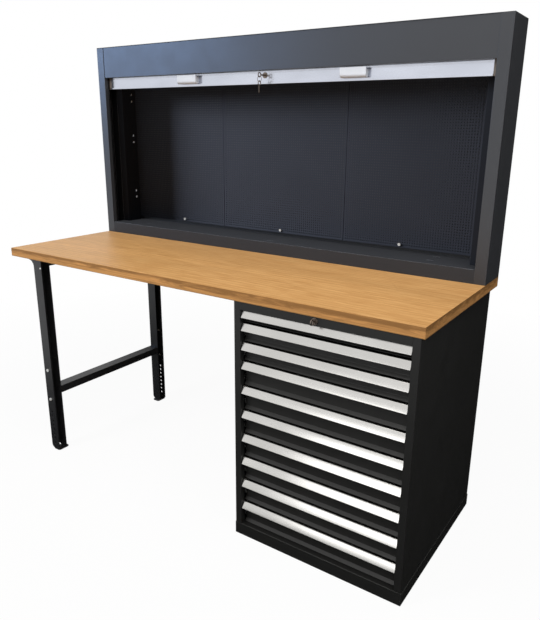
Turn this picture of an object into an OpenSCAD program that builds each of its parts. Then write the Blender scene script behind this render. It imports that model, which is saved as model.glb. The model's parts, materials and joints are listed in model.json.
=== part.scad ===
// Workbench with a drawer cabinet, a leg frame and an upper tool cabinet with a roller shutter.
// Millimetres, +Z up, front towards -Y, origin on the floor under the middle of the footprint.

/* [Worktop] */
// Length of the worktop
top_w = 1700; // [1500:10:2200]
// Depth of the worktop
top_d = 650; // [630:5:800]
// Thickness of the worktop
top_t = 32; // [25:1:50]
// Bevel along the worktop's front edges
top_bevel = 1.5; // [0.5:0.5:4]

/* [Drawer cabinet] */
// Width of the drawer cabinet
cab_w = 585; // [500:5:700]
// Depth of the drawer cabinet
cab_d = 605; // [600:5:620]
// Distance from the worktop's right end to the cabinet's side
cab_end = 10; // [4:1:60]
// Set-back of the cabinet's face from the worktop's front edge
cab_set = 2; // [0:1:10]
// Height of the plinth
plinth_h = 42; // [30:1:100]
// How far the plinth stands out past each side
plinth_lip = 2; // [1:0.5:4]
// Width of the flange under the plinth
plinth_flange = 25; // [15:1:50]
// Height of the head rail above the drawers
head_h = 24.4; // [23:0.2:40]
// Face width of each stile beside the drawers
stile_w = 22; // [20:1:40]
// Depth of the fold behind each stile and the head rail
stile_fold = 20; // [10:1:22]
// Thickness of the cabinets' sheet steel
sheet = 1.5; // [1:0.1:2]

/* [Drawers] */
// Height of one drawer unit
unit = 20.6; // [20.4:0.2:26]
// Depth of a drawer's tray behind its front
tray_d = 540; // [480:5:550]
// Gap round a drawer front
drawer_gap = 2; // [1.5:0.5:4]
// Recess of the drawer fronts behind the cabinet's face
front_set = 26; // [24:1:36]
// How far the foot of a drawer front slopes forward
ledge_d = 8; // [4:1:10]
// Height of the sloping foot of a drawer front
ledge_h = 9; // [5:1:12]
// Gap under a tray
tray_foot = 4; // [3:0.5:5]
// Clear height above a tray's rim
tray_head = 10; // [8:0.5:11]
// Height of a handle strip
handle_h = 25; // [18:1:28]
// How far a handle's lower edge stands forward of its upper edge
handle_slope = 11; // [4:1:14]
// Depth of the lip under a handle
handle_lip = 5; // [3:0.5:7]
// Thickness of a handle strip
handle_t = 1.6; // [1.2:0.1:2.5]
// Set-back of a handle's lower edge from the cabinet's face
handle_set = 1; // [0.5:0.5:4]
// How far a drawer pulls out
drawer_travel = 500; // [300:10:520]

/* [Slides] */
// Height of a slide
slide_h = 13; // [10:0.5:13.5]
// Width of a running slide member
slide_w = 5.5; // [4:0.5:8]
// Running gap between slide members
slide_fit = 0.3; // [0.2:0.05:0.5]
// Height of a slide's foot above the drawer's foot
slide_foot = 6; // [4.5:0.5:6]
// Space behind a drawer front for the lock's catches
catch_space = 14; // [13:0.5:20]

/* [Locks] */
// Radius of a lock's body
lock_r = 8; // [6:0.5:9]
// Radius of a lock's rosette
rosette_r = 10; // [9.5:0.5:11]
// Thickness of a lock's rosette
rosette_t = 2; // [1:0.5:3]
// Running clearance round a lock's body
lock_fit = 0.05; // [0.02:0.01:0.1]
// Distance of the cabinet's lock from the cabinet's middle, to the left
lock_off = 13; // [0:1:120]
// Rise of the lock bar
lock_rise = 5; // [4:0.5:5]
// Height of a catch on the lock bar and on a drawer
catch_h = 4; // [3:0.5:4]
// Reach of the cabinet's inserted key in front of its rosette
key_reach = 22; // [18:1:30]
// Thickness of a key
key_t = 2.4; // [1.5:0.1:3]
// Outer radius of a key's bow
bow_r = 9; // [8.5:0.5:10]
// Radius of the hole in a key's bow
bow_hole_r = 6; // [5.5:0.1:6.5]
// Radius of the key ring, to the middle of its wire
ring_r = 9; // [8.5:0.5:14]
// Radius of the key ring's wire
wire_r = 0.8; // [0.5:0.1:1.2]
// Length of the spare key's blade
blade_l = 24; // [16:1:30]

/* [Leg frame] */
// Distance from the worktop's left end to the legs
leg_end = 129; // [60:1:250]
// Width of a leg, along the worktop
leg_w = 45; // [40:1:80]
// Depth of a leg
leg_d = 38; // [32:1:60]
// Sheet thickness of the leg frame
leg_t = 2; // [1.5:0.1:3]
// Set-back of the front leg from the worktop's front edge
leg_set = 4; // [0:1:30]
// Set-back of the rear leg from the worktop's rear edge
leg_rear_set = 14; // [0:1:60]
// Height of the crossbar above the floor
crossbar_z = 250; // [120:5:500]
// Height of the crossbar's section
crossbar_h = 30; // [20:1:60]
// Height of the top rail's section
top_rail_h = 25; // [20:1:50]
// Radius of the flare at the top of a leg
flare_r = 26; // [10:1:40]
// Thickness of a foot plate
foot_t = 4; // [3:0.5:8]
// How far a foot plate stands out past its leg, towards the other leg
foot_out = 12; // [4:1:40]
// Set-back of a foot plate from the leg's outer side
foot_set = 8; // [0:1:12]
// Radius of a foot plate's corners
foot_r = 9; // [3:1:16]
// Radius of the lower corner of a leg, at its outer side
leg_round = 16; // [5:1:30]
// Length of the foot's channel inside the leg
foot_l = 400; // [380:5:500]
// Radius of a leg bolt's shank
bolt_r = 4; // [3:0.5:5]
// Clearance round a leg bolt's shank
bolt_fit = 0.2; // [0.1:0.1:0.4]
// Height of the lower leg bolt
bolt_z = 228; // [200:1:240]
// Distance between the two leg bolts
bolt_gap = 127; // [60:1:140]
// Distance between the adjusting holes
hole_pitch = 20; // [15:1:22]
// Radius of an adjusting hole
hole_r = 4.5; // [2:0.5:5]
// Radius of a wood screw's shank
wood_r = 2.5; // [2:0.1:3]
// Length of a wood screw in the worktop
wood_l = 20; // [12:1:22]
// Distance of the wood screws from the corners of what they hold
wood_in = 60; // [40:5:120]

/* [Upper cabinet] */
// Depth of the upper cabinet
up_d = 151; // [140:1:220]
// Face width of each upper stile
up_stile = 37; // [30:1:60]
// Depth of the fold behind each upper stile
up_fold = 18; // [10:1:19]
// Height of the sill
sill_h = 46; // [40:1:80]
// Height of the opening above the sill
open_h = 610; // [560:5:700]
// Set-back of the fascia from the stiles' faces
fascia_set = 2; // [1:0.5:4]
// Depth of the fold under the fascia
fascia_fold = 14; // [8:1:15]
// Distance between the two inner liners
liner_gap = 1556; // [1400:2:1570]
// Distance from the back panels' face to the cabinet's back
panel_set = 16; // [4:0.5:20]
// Thickness of the back panels
panel_t = 1.2; // [1:0.1:2]
// Gap between the outer back panels and the cabinet's sides
panel_edge = 7.5; // [5:0.5:12]
// Joint between two back panels
panel_joint = 1; // [0.5:0.5:2]
// Gap under the back panels
panel_foot = 14; // [8:1:30]
// Distance of the outer panels' screws from the middles of their panels
screw_off = 57; // [0:1:200]
// Height of the panel screws above the panels' lower edge
screw_z = 10; // [8:1:30]
// Radius of a screw's head
screw_r = 5; // [3:0.5:7]

/* [Shutter] */
// Height of the shutter's bottom bar
bar_h = 46; // [40:1:60]
// Depth of the bottom bar
bar_d = 14; // [13:0.5:18]
// Wall of the bottom bar
bar_wall = 2; // [1.5:0.1:2.5]
// Distance from the stiles' faces to the bottom bar's face
bar_set = 25; // [25:1:30]
// How far the lip along the bar's foot stands forward
lip_d = 4; // [2:0.5:5]
// Height of the lip along the bar's foot
lip_h = 5; // [3:0.5:8]
// Length of the end blocks beyond the bar
block_l = 12; // [8:1:16]
// Height of the lock above the bar's foot
shutter_lock_z = 29; // [25:1:32]
// Distance of each pull from the middle
pull_x = 358; // [200:2:600]
// Width of a pull
pull_w = 95; // [60:1:140]
// Height of a pull
pull_h = 32; // [24:1:34]
// Depth of a pull
pull_d = 20; // [12:0.5:24]
// Height of the pulls above the bar's foot
pull_z = 9; // [6:0.5:10]
// Thickness of a pull
pull_t = 2; // [1.5:0.1:3]
// Depth of a slat's section
slat_d = 6; // [4:0.5:7]
// Sheet thickness of a slat
slat_t = 1; // [0.6:0.1:1.5]
// Gap between two layers of slats
slat_gap = 0.5; // [0.3:0.1:1]
// Overlap of two slat groups when the shutter is down
slat_lap = 2; // [1:0.5:4]
// Radius of the barrel
barrel_r = 25; // [18:1:30]
// Wall of the barrel
barrel_wall = 2; // [1.5:0.1:3]
// Radius of the barrel's shaft
shaft_r = 6; // [5:0.5:8]
// Running clearance of the barrel on its shaft
shaft_fit = 0.05; // [0.02:0.01:0.1]
// Length of the barrel's spring
spring_l = 320; // [150:10:600]
// Outer radius of the barrel's spring
spring_r = 13; // [9:0.5:15]

/* [Hidden] */
$fn = 48;
// Cuts run past the faces that they open by this much
over = 1;
// Riveted parts of one node lie this far apart, so that each stays a solid of its own
seam = 0.05;
// Drawer heights in units, from the top drawer down
drawer_rows = [2, 3, 3, 4, 4, 4, 4, 4, 4, 4];
drawers = len(drawer_rows);
// Slat groups that the curtain is parted into, and the slats in each
groups = 5;
slats = 4;
// Rows of shelf slots in the liners, as heights above the sill
slot_rows = [120, 361, 532];
slot_pair = 28;
slot_size = [4, 8];
slot_set = 26;
// Slots in the upper cabinet's floor: places from the middle and from the stiles' faces
floor_slots = [[648, 54], [648, 118]];
floor_slot = [22, 5];
adjust_holes = 8;
adjust_z = 30;

paint_dark = "#2b2b2a";
paint_grey = "#46474a";
wood = "#c89a5f";
alu = "#d6d4cf";
steel = "#9a9c9e";
plastic = "#6e5c4c";

// Rows of drawers, from the floor up to the worktop
function units_above(k) = k == 0 ? 0 : drawer_rows[k - 1] + units_above(k - 1);
bay_top = plinth_h + unit * units_above(drawers);
cab_top = bay_top + head_h;
bench_h = cab_top + top_t;

// Plan: the inserted key stands out in front of the worktop
key_out = rosette_t + key_reach - cab_set;
front_y = -(top_d - key_out) / 2;
back_y = front_y + top_d;

// Drawer cabinet
face_y = front_y + cab_set;
cab_back = face_y + cab_d;
cab_x1 = top_w / 2 - cab_end;
cab_x0 = cab_x1 - cab_w;
cab_mid = (cab_x0 + cab_x1) / 2;
bay_x0 = cab_x0 + stile_w;
bay_x1 = cab_x1 - stile_w;

// Drawers and slides: each slide has a fixed, a running and a drawer member
web_y = face_y + front_set;
tray_y = web_y + sheet + seam;
slide_y = tray_y + catch_space;
slide_l = tray_d - catch_space;
mid_in = slide_fit;
rail_in = mid_in + slide_w + slide_fit;
tray_in = rail_in + slide_w + seam;
function row_top(k) = bay_top - unit * units_above(k);
function row_foot(k) = row_top(k + 1);
handle_top_y = face_y + handle_set + handle_slope;

// Cabinet lock and lock bar
lock_x = cab_mid - lock_off;
lock_z = bay_top + head_h / 2;
crank_r = lock_rise / 2 / sin(45);
pin_r = 1.5;
crank_rim = 1.5;
crank_r_out = crank_r + pin_r + crank_rim;
crank_t = 2;
bar_t = 3;
bar_gap = 2;
lock_bar_y = tray_y + bar_gap;
arm_h = 8;
arm_z = lock_z - lock_rise / 2;
strip_w = 14;
catch_gap = 2;
catch_y = lock_bar_y + bar_t + catch_gap;
catch_foot = 1;
catch_z = slide_foot + slide_h + catch_foot;
catch_lap = 3;

// Leg frame
leg_x0 = -top_w / 2 + leg_end;
leg_x1 = leg_x0 + leg_w;
leg_y0 = front_y + leg_set;
leg_y1 = back_y - leg_rear_set;
leg_mid = (leg_x0 + leg_x1) / 2;
bolt_head_r = 1.6 * bolt_r;
bolt_head_h = 1.1 * bolt_r;
// A bolt's shank goes through the leg and the foot's channel, and on by one sheet
shank_l = 3 * leg_t;

// Upper cabinet, with the shutter's layers behind its face
up_y = back_y - up_d;
side_x = top_w / 2;
stile_x = side_x - up_stile;
sill_z = bench_h + sill_h;
head_z = sill_z + open_h;
bar_tuck = 1;
travel = open_h - bar_h + bar_tuck;
group_h = travel / groups + slat_lap;
roof_gap = 1.5;
roof_z = head_z + bar_tuck + group_h + roof_gap;
up_top = roof_z + sheet;
panel_y = back_y - panel_set;
liner_x = liner_gap / 2;
bar_y = up_y + bar_set;
bar_z0 = head_z + bar_tuck - bar_h;
block_play = 1;
bar_x = stile_x - block_l - block_play;
slat_y = bar_y + bar_wall;
slat_step = slat_d + slat_gap;
guide_y0 = bar_y - lip_d;
guide_y1 = slat_y + groups * slat_step;
guide_gap = 2;
guide_x = side_x - sheet - guide_gap;
// The guides' lips show a little past the stiles
guide_show = 2.5;
guide_lip = guide_x - stile_x + guide_show;
slat_x = guide_x - sheet - slide_fit;
barrel_y = (guide_y1 + sheet + panel_y) / 2;
barrel_z = (head_z + roof_z) / 2;
bracket_t = 4;
shaft_x = liner_x;
barrel_x = shaft_x - bracket_t - slide_fit;
panel_play = 1;
panel_w = (2 * (side_x - sheet - panel_edge) - 2 * panel_joint) / 3;
screw_x = panel_w + panel_joint - screw_off;
panel_h = roof_z - sill_z - panel_foot - panel_play;
pull_foot = 6;

// Bottom bar's groove, and the hook cam of the shutter's lock
groove_h = 2.5;
groove_set = 9;
groove_z = bar_h - groove_set;
cam_w = 12;
cam_t = 2.5;
cam_set = 4;
cam_y = bar_y + bar_wall + cam_set;
cam_gap = 1;
toe_h = 5.5;
toe_l = 10;
cam_l = shutter_lock_z + sheet + cam_gap + toe_h;

// The shutter's key stands out so far that the spare key hangs in front of the sill when the shutter is down
key_clear = 1;
shutter_reach = bar_set - rosette_t + 2 * bow_r + key_clear;
// A ring's wire stays clear of the rim of the bow that it hangs in, however it swings
rim_mid = (bow_r + bow_hole_r) / 2;
rim_clear = norm([bow_r - bow_hole_r, key_t]) / 2 + wire_r + 0.1 * wire_r;

// Wood screws: places and the sheet that each goes through, from below and from above
wood_fit = 0.05;
wood_head_r = 2 * wood_r;
wood_head_h = 1.2 * wood_r;
under_screws = concat(
    [for (y = [leg_y0 + leg_d + wood_in, leg_y1 - leg_d - wood_in]) [leg_mid, y, leg_t]],
    [for (x = [cab_x0 + wood_in, cab_x1 - wood_in], y = [face_y + wood_in, cab_back - wood_in])
        [x, y, sheet]]);
top_screws = [for (x = [-screw_x, 0, screw_x]) [x, up_y + (sheet + up_fold) / 2]];

// Folded sheet: the strip of thickness t on the left of a path of folds
function left_of(a, b) = let (d = b - a) [-d[1], d[0]] / norm(d);
function mitre(p, i, t) =
    let (n = len(p) - 1,
         before = left_of(p[max(i - 1, 0)], p[max(i, 1)]),
         after = left_of(p[min(i, n - 1)], p[min(i + 1, n)]))
    p[i] + t * (before + after) / (1 + before * after);
function strip(p, t) = concat(p, [for (i = [len(p) - 1 : -1 : 0]) mitre(p, i, t)]);

// Extrusions along one axis: a Y-Z outline along X, an X-Z outline along Y
module along_x(x0, x1) translate([x0, 0, 0]) rotate([90, 0, 90]) linear_extrude(x1 - x0) children();
module along_y(y0, y1) translate([0, y1, 0]) rotate([90, 0, 0]) linear_extrude(y1 - y0) children();
module up_z(z0, z1) translate([0, 0, z0]) linear_extrude(z1 - z0) children();
module fold_x(p, t, x0, x1) along_x(x0, x1) polygon(strip(p, t));
module fold_y(p, t, y0, y1) along_y(y0, y1) polygon(strip(p, t));
module fold_z(p, t, z0, z1) up_z(z0, z1) polygon(strip(p, t));
module block(a, b) translate(a) cube(b - a);
// A round bar or hole along Y, and along X
module rod_y(r, y0, y1) translate([0, y0, 0]) rotate([-90, 0, 0]) cylinder(r = r, h = y1 - y0);
module rod_x(r, x0, x1) translate([x0, 0, 0]) rotate([0, 90, 0]) cylinder(r = r, h = x1 - x0);
// A flat plate with round corners
module round_plate(a, b, r, t) linear_extrude(t) {
    translate([a[0] + r, a[1]]) square([b[0] - a[0] - 2 * r, b[1] - a[1]]);
    translate([a[0], a[1] + r]) square([b[0] - a[0], b[1] - a[1] - 2 * r]);
    for (x = [a[0] + r, b[0] - r], y = [a[1] + r, b[1] - r]) translate([x, y]) circle(r = r);
}
// The same piece on both sides of a mid-plane
module both(x) {
    children();
    translate([2 * x, 0, 0]) mirror([1, 0, 0]) children();
}

module worktop() color(wood) difference() {
    along_x(-top_w / 2, top_w / 2) polygon([
        [front_y + top_bevel, cab_top], [back_y, cab_top],
        [back_y, bench_h], [front_y + top_bevel, bench_h],
        [front_y, bench_h - top_bevel], [front_y, cab_top + top_bevel]]);
    wood_shanks(wood_r + wood_fit, over);
}

// Shanks of the wood screws, or the holes for them
module wood_shanks(r, past) {
    for (p = under_screws)
        translate([p[0], p[1], cab_top - p[2] - past]) cylinder(r = r, h = p[2] + past + wood_l);
    for (p = top_screws)
        translate([p[0], p[1], bench_h - wood_l]) cylinder(r = r, h = wood_l + sheet + past);
}

// Drawer cabinet shell
module cabinet_sides() color(paint_dark) both(cab_mid)
    fold_z([[cab_x0, cab_back], [cab_x0, face_y], [bay_x0, face_y], [bay_x0, face_y + stile_fold]],
           sheet, plinth_h, cab_top);

module cabinet_back() color(paint_dark)
    block([cab_x0 + sheet, cab_back - sheet, plinth_h], [cab_x1 - sheet, cab_back, cab_top - sheet]);

module cabinet_top() color(paint_dark) difference() {
    union() {
        fold_x([[face_y + stile_fold, bay_top], [face_y, bay_top], [face_y, cab_top],
                [face_y + stile_fold, cab_top]], -sheet, bay_x0, bay_x1);
        block([cab_x0 + sheet, face_y + stile_fold, cab_top - sheet],
              [cab_x1 - sheet, cab_back, cab_top]);
    }
    translate([lock_x, 0, lock_z]) rod_y(lock_r + lock_fit, face_y - over, face_y + sheet + over);
    wood_shanks(wood_r + wood_fit, over);
}

module cabinet_plinth() color(paint_dark) {
    a = [cab_x0 - plinth_lip, face_y, 0];
    b = [cab_x1 + plinth_lip, cab_back, plinth_h];
    wall = [sheet, sheet, sheet];
    inner = [plinth_flange, plinth_flange, 0];
    difference() {
        block(a, b);
        block(a + wall, b - wall);
        block(a + inner - [0, 0, over], b - inner - [0, 0, plinth_h / 2]);
    }
}

// A channel that opens towards +X, for the slides on the left
module slide_member(x0, x1, z, y, l) fold_y(
    [[x1, z + slide_h], [x0, z + slide_h], [x0, z], [x1, z]], sheet, y, y + l);

module cabinet_rails() color(steel) both(cab_mid)
    for (k = [0 : drawers - 1])
        slide_member(cab_x0 + sheet, bay_x0, row_foot(k) + slide_foot, slide_y, slide_l);

module drawer_slides(k) color(steel) both(cab_mid)
    slide_member(bay_x0 + mid_in, bay_x0 + mid_in + slide_w, row_foot(k) + slide_foot, slide_y, slide_l);

// A drawer: formed front, tray, its slide members and the catch for the lock bar
module drawer(k) color(paint_dark) {
    foot = row_foot(k) + drawer_gap;
    lid = row_top(k) - drawer_gap - handle_t - sheet;
    tray_z = row_foot(k) + tray_foot;
    rim = row_top(k) - tray_head;
    x0 = bay_x0 + tray_in;
    x1 = bay_x1 - tray_in;
    fold_x([[web_y - ledge_d, foot], [web_y, foot + ledge_h], [web_y, lid], [handle_top_y + handle_t, lid]],
           -sheet, bay_x0 + drawer_gap, bay_x1 - drawer_gap);
    difference() {
        block([x0, tray_y, tray_z], [x1, tray_y + tray_d, rim]);
        block([x0 + sheet, tray_y + sheet, tray_z + sheet],
              [x1 - sheet, tray_y + tray_d - sheet, rim + over]);
    }
    both(cab_mid)
        slide_member(bay_x0 + rail_in, x0 - seam, row_foot(k) + slide_foot, slide_y, slide_l);
    block([x1 + seam, catch_y, row_foot(k) + catch_z + lock_rise],
          [bay_x1 - mid_in - slide_w, catch_y + bar_t, row_foot(k) + catch_z + lock_rise + catch_h]);
}

module drawer_handle(k) color(alu) {
    z = row_top(k) - drawer_gap;
    fold_x([[web_y + sheet, z], [handle_top_y, z], [handle_top_y - handle_slope, z - handle_h],
            [handle_top_y - handle_slope + handle_lip, z - handle_h]], handle_t,
           bay_x0 + drawer_gap, bay_x1 - drawer_gap);
}

// A key in its lock: shank and a bow with a hole on the lock's axis
module inserted_key(y, reach)
    translate([0, y - reach + bow_r, 0]) rotate([90, 0, 90]) key(reach - bow_r);

// A flat key: bow on the axis, shank towards +X
module key(l) translate([0, 0, -key_t / 2]) linear_extrude(key_t) difference() {
    union() {
        circle(r = bow_r);
        translate([0, -bow_hole_r / 2]) square([l, bow_hole_r]);
    }
    circle(r = bow_hole_r);
}

// Lock body with rosette, crank and crank pin; the crank points right and down at rest
module cabinet_lock() color(steel) translate([lock_x, 0, lock_z]) {
    rod_y(rosette_r, face_y - rosette_t, face_y);
    rod_y(lock_r, face_y, lock_bar_y - crank_t - slide_fit);
    rod_y(crank_r_out, lock_bar_y - crank_t - slide_fit, lock_bar_y - slide_fit);
    rotate([0, 45, 0]) translate([crank_r, 0, 0])
        rod_y(pin_r, lock_bar_y - slide_fit, lock_bar_y + bar_t);
    inserted_key(face_y - rosette_t, key_reach);
}

// Lock bar: an arm behind the head rail, a strip behind the right stile and a catch for each drawer
module lock_bar() color(steel) {
    y0 = lock_bar_y;
    y1 = lock_bar_y + bar_t;
    edge = cab_x1 - sheet - slide_fit;
    reach = bay_x1 - mid_in - slide_w - catch_lap;
    slot_h = pin_r + slide_fit * 2;
    difference() {
        block([lock_x - pin_r, y0, arm_z - arm_h / 2], [edge, y1, arm_z + arm_h / 2]);
        translate([lock_x, y0 - over, arm_z])
            block([crank_r * cos(45) - slot_h, 0, -slot_h], [crank_r + slot_h, bar_t + 2 * over, slot_h]);
    }
    block([edge - strip_w, y0, row_foot(drawers - 1) + catch_z],
          [edge, y1, arm_z - arm_h / 2 - seam]);
    for (k = [0 : drawers - 1])
        block([reach, y0, row_foot(k) + catch_z],
              [edge - strip_w - seam, y1, row_foot(k) + catch_z + catch_h]);
}

// Leg frame: two channel legs that open towards the cabinet, a crossbar and a top rail, welded
module leg_section(x0, y0, y1) polygon(strip([[leg_x1, y1], [x0, y1], [x0, y0], [leg_x1, y0]], leg_t));
module cross_section(z, h) fold_y(
    [[leg_x0, z], [leg_x0, z + h], [leg_x1, z + h], [leg_x1, z]], -leg_t, leg_y0 + leg_d, leg_y1 - leg_d);
module bolt_rows() for (z = [bolt_z, bolt_z + bolt_gap]) translate([leg_mid, 0, z]) children();

module leg(y0) difference() {
    union() {
        difference() {
            up_z(foot_t, cab_top) leg_section(leg_x0, y0, y0 + leg_d);
            leg_corner(y0);
        }
        along_y(y0, y0 + leg_t) translate([leg_x0 - flare_r, cab_top - flare_r - leg_t]) difference() {
            square([flare_r, flare_r + leg_t]);
            circle(r = flare_r);
        }
    }
    leg_holes(y0);
}

// What rounds the lower corner of a leg
module leg_corner(y0)
    along_y(y0 - over, y0 + leg_d + over) translate([leg_x0, foot_t]) difference() {
        translate([-over, -over]) square(leg_round + over);
        translate([leg_round, leg_round]) circle(r = leg_round);
    }

// Bolt holes and the row of adjusting holes, through a leg's outer flange and the foot's channel behind it
module leg_holes(y0) {
    outer = y0 == leg_y0 ? [y0 - over, y0 + shank_l] : [leg_y1 - shank_l, leg_y1 + over];
    for (i = [0 : adjust_holes - 1])
        translate([leg_mid, 0, adjust_z + i * hole_pitch]) rod_y(hole_r, outer[0], outer[1]);
    bolt_rows() rod_y(bolt_r + bolt_fit, outer[0], outer[1]);
}

module leg_frame() color(paint_dark) {
    leg(leg_y0);
    leg(leg_y1 - leg_d);
    cross_section(crossbar_z, crossbar_h);
    difference() {
        cross_section(cab_top - top_rail_h, top_rail_h);
        wood_shanks(wood_r + wood_fit, over);
    }
}

// Feet: plates with round corners, which reach towards each other, and channels inside the legs
module leg_feet() color(paint_dark)
    for (foot = [[leg_y0, 0, foot_out], [leg_y1 - leg_d, foot_out, 0]]) {
        y0 = foot[0];
        round_plate([leg_x0 + foot_set, y0 - foot[1]], [leg_x1, y0 + leg_d + foot[2]], foot_r, foot_t);
        difference() {
            up_z(foot_t, foot_l) leg_section(leg_x0 + leg_t, y0 + leg_t, y0 + leg_d - leg_t);
            leg_corner(y0);
            leg_holes(y0);
        }
    }

// Fasteners: hexagon bolts in the legs, round-headed screws in the back panels and wood screws
module fasteners() color(steel) {
    bolt_rows() {
        rotate([90, 0, 0]) translate([0, 0, -leg_y0]) cylinder(r = bolt_head_r, h = bolt_head_h, $fn = 6);
        rod_y(bolt_r, leg_y0, leg_y0 + shank_l);
        rotate([-90, 0, 0]) translate([0, 0, leg_y1]) cylinder(r = bolt_head_r, h = bolt_head_h, $fn = 6);
        rod_y(bolt_r, leg_y1 - shank_l, leg_y1);
    }
    for (x = [-screw_x, 0, screw_x])
        translate([x, 0, sill_z + panel_foot + screw_z]) rod_y(screw_r, panel_y - screw_r / 2, panel_y);
    wood_shanks(wood_r, 0);
    for (p = under_screws)
        translate([p[0], p[1], cab_top - p[2] - wood_head_h]) cylinder(r = wood_head_r, h = wood_head_h);
    for (p = top_screws)
        translate([p[0], p[1], bench_h + sheet]) cylinder(r = wood_head_r, h = wood_head_h);
}

// Upper cabinet shell
module upper_sides() color(paint_grey) both(0)
    fold_z([[-side_x, back_y - sheet], [-side_x, up_y], [-stile_x, up_y], [-stile_x, up_y + up_fold]],
           sheet, bench_h, roof_z);

module upper_back() color(paint_grey)
    fold_x([[back_y, bench_h], [back_y, up_top], [up_y, up_top]], sheet, -side_x, side_x);

module fascia() color(paint_grey) {
    y = up_y + fascia_set;
    fold_x([[y + fascia_fold, head_z], [y, head_z], [y, roof_z]], -sheet, -stile_x, stile_x);
}

module sill() color(paint_grey) difference() {
    fold_x([[up_y + up_fold, bench_h], [up_y, bench_h], [up_y, sill_z], [back_y - sheet, sill_z]], -sheet,
           -stile_x, stile_x);
    for (s = [-1, 1], p = floor_slots)
        translate([s * p[0] - floor_slot[0] / 2, up_y + p[1] - floor_slot[1] / 2, sill_z - sheet - over])
            cube([floor_slot[0], floor_slot[1], sheet + 2 * over]);
    keeper_slot();
    wood_shanks(wood_r + wood_fit, over);
}

module tool_panels() color(paint_grey)
    for (i = [-1 : 1])
        translate([i * (panel_w + panel_joint) - panel_w / 2, panel_y, sill_z + panel_foot]) {
            cube([panel_w, panel_t, panel_h]);
            for (x = [0, panel_w - panel_t])
                translate([x, 0, 0]) cube([panel_t, panel_set - sheet, panel_h]);
        }

module side_liners() color(paint_dark) both(0) difference() {
    y0 = guide_y1 + sheet;
    fold_z([[-side_x + sheet, y0], [-liner_x, y0], [-liner_x, panel_y]], sheet, sill_z, roof_z);
    for (z = slot_rows, s = [-0.5, 0.5])
        translate([-liner_x - sheet - over, panel_y - slot_set,
                   sill_z + z + s * slot_pair - slot_size[1] / 2])
            cube([sheet + 2 * over, slot_size[0], slot_size[1]]);
}

// Guides for the shutter's ends
module shutter_guides() color(paint_dark) both(0)
    fold_z([[-guide_x + guide_lip, guide_y1 + sheet], [-guide_x, guide_y1 + sheet],
            [-guide_x, guide_y0 - sheet], [-guide_x + guide_lip, guide_y0 - sheet]], sheet, sill_z, roof_z);

// Barrel, with the fixed shaft, brackets and spring inside it
module barrel_shaft() color(steel) translate([0, barrel_y, barrel_z]) {
    rod_x(shaft_r, -shaft_x, shaft_x);
    both(0) block([-shaft_x, -barrel_r, -barrel_r], [-shaft_x + bracket_t, barrel_r, barrel_r]);
    difference() {
        rod_x(spring_r, -spring_l / 2, spring_l / 2);
        rod_x(shaft_r + slide_fit, -spring_l / 2 - over, spring_l / 2 + over);
    }
}

module shutter_barrel() color(alu) translate([0, barrel_y, barrel_z]) difference() {
    rod_x(barrel_r, -barrel_x, barrel_x);
    rod_x(barrel_r - barrel_wall, -barrel_x + bracket_t, barrel_x - bracket_t);
    rod_x(shaft_r + shaft_fit, -barrel_x - over, barrel_x + over);
}

// Bottom bar of the shutter: a hollow section with a lip along its foot and a groove near its top
module bar_section() difference() {
    translate([bar_y, bar_z0]) union() {
        square([bar_d, bar_h]);
        translate([-lip_d, 0]) square([lip_d, lip_h]);
    }
    translate([bar_y + bar_wall, bar_z0 + bar_wall]) square([bar_d - 2 * bar_wall, bar_h - 2 * bar_wall]);
    translate([bar_y - over, bar_z0 + groove_z]) square([over + bar_wall / 2, groove_h]);
}

module shutter_bar() color(alu) difference() {
    along_x(-bar_x, bar_x) bar_section();
    translate([0, 0, bar_z0 + shutter_lock_z])
        rod_y(lock_r + lock_fit, bar_y - over, bar_y + bar_wall + over);
    cam_slot(bar_z0, bar_wall);
}

// Slots that the cam swings down through, in the bar's foot and in the sill; its toe ends under the sill
module cam_slot(z, t)
    block([-cam_w / 2 - slide_fit, cam_y - slide_fit, z - over],
          [cam_l, cam_y + cam_t + slide_fit, z + t + over]);
module keeper_slot() cam_slot(sill_z - sheet, sheet);

module shutter_blocks() color(plastic) both(0) {
    block([bar_x, bar_y, bar_z0], [bar_x + block_l, bar_y + bar_d, bar_z0 + bar_h]);
    block([bar_x + block_l, slat_y, bar_z0], [slat_x, slat_y + slat_d, bar_z0 + bar_h]);
}

// Finger pulls on the bottom bar: a foot against the bar, a curved floor and a front lip
module shutter_pulls() color(alu) {
    z0 = bar_z0 + pull_z;
    r = pull_d / 2;
    for (s = [-1, 1]) translate([s * pull_x, 0, 0]) along_x(-pull_w / 2, pull_w / 2) {
        translate([bar_y - pull_t, z0 + r]) square([pull_t, pull_h - r - pull_foot]);
        translate([bar_y - r, z0 + r]) difference() {
            circle(r = r);
            circle(r = r - pull_t);
            translate([-r - over, 0]) square([2 * (r + over), r + over]);
        }
        translate([bar_y - pull_d, z0 + r]) square([pull_t, pull_h - r]);
    }
}

module shutter_lock() color(steel) translate([0, 0, bar_z0 + shutter_lock_z]) {
    rod_y(rosette_r, bar_y - rosette_t, bar_y);
    rod_y(lock_r, bar_y, cam_y);
    block([-cam_w / 2, cam_y, -cam_w / 2], [cam_l, cam_y + cam_t, cam_w / 2]);
    block([cam_l - toe_h, cam_y, -cam_w / 2 - toe_l], [cam_l, cam_y + cam_t, -cam_w / 2]);
    inserted_key(bar_y - rosette_t, shutter_reach);
}

// Spare key that hangs from a ring through the inserted key's bow
module spare_key() color(steel)
    translate([0, bar_y - rosette_t - shutter_reach + bow_r,
               bar_z0 + shutter_lock_z - rim_mid + rim_clear - ring_r]) {
        rotate([90, 0, 0]) rotate_extrude() translate([ring_r, 0]) circle(r = wire_r, $fn = 16);
        translate([0, 0, wire_r + slide_fit - ring_r - bow_hole_r]) rotate([0, 90, 0]) key(bow_r + blade_l);
    }

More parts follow.
